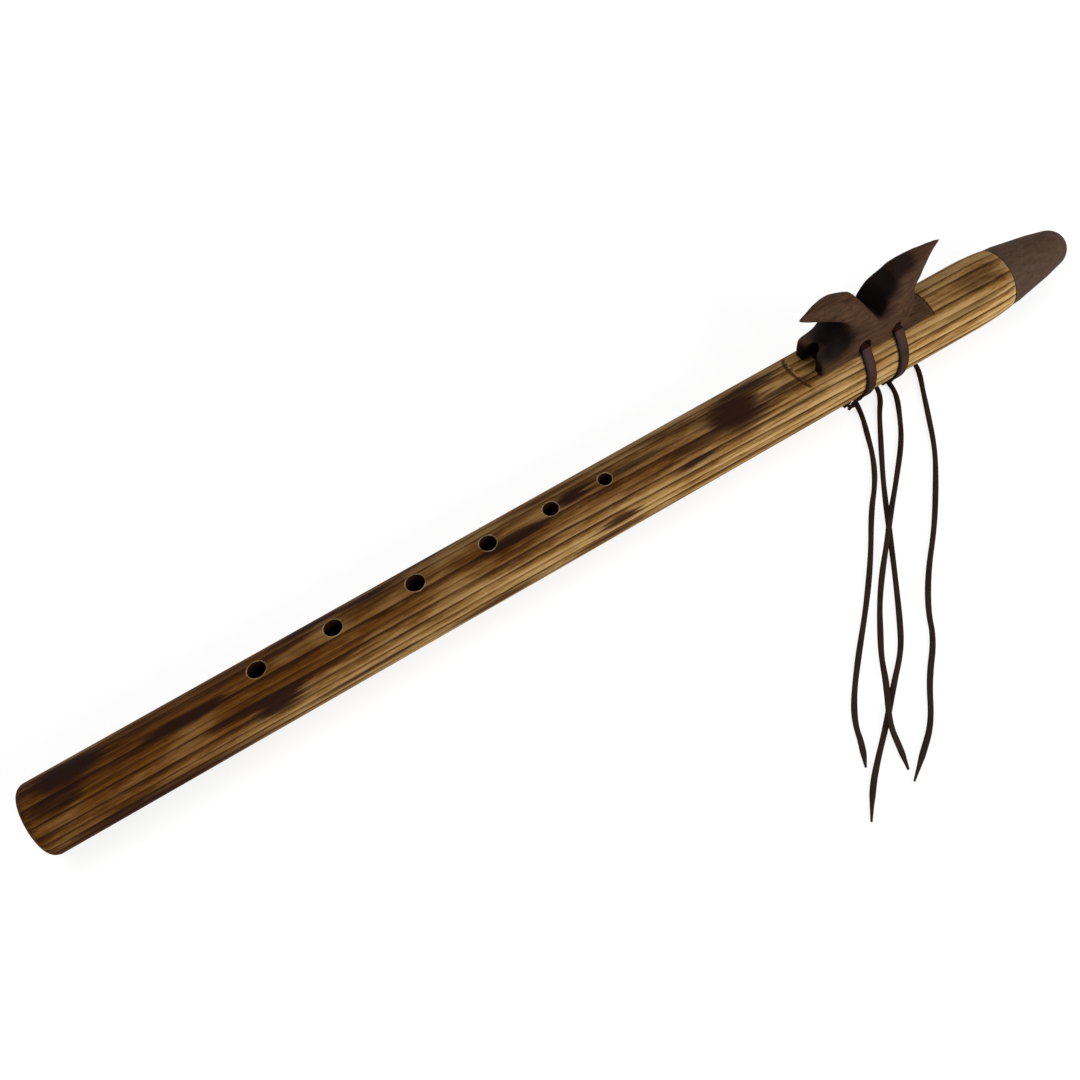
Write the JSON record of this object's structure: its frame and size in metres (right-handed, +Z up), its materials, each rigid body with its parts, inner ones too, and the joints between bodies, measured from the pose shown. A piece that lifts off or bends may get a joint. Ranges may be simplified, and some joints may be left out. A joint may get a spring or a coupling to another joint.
{
  "type": "native american flute",
  "caption": "Wooden duct flute with a row of finger holes, a carved bird block tied over its nest with leather laces, and a dark bullet-shaped mouthpiece.",
  "frame": {"origin": "on the table under the middle of the flute, which lies block up on its ties", "axes": "+X along the bore towards the mouthpiece, +Z up through the block, -Y towards the free lace tails"},
  "size_m": [0.5818, 0.2123, 0.0732],
  "materials": {
    "scorched_pine": "oiled, scorched grain",
    "plug_wood": "sanded",
    "dark_hardwood": "oiled",
    "walnut": "carved and oiled",
    "lace_leather": "smooth"
  },
  "bodies": {
    "flute": {"flute_body": "scorched_pine", "chamber_plug": "plug_wood", "mouthpiece": "dark_hardwood"},
    "block": {"bird_block": "walnut", "front_tie": "lace_leather", "rear_tie": "lace_leather", "front_tie_knot": "lace_leather", "rear_tie_knot": "lace_leather", "front_tail_left": "lace_leather", "front_tail_right": "lace_leather", "rear_tail_left": "lace_leather", "rear_tail_right": "lace_leather"}
  },
  "joints": [
    {"name": "block_slide", "type": "slide", "parent": "flute", "child": "block", "axis": [-1, 0, 0], "range_m": [0, 0.008]}
  ]
}
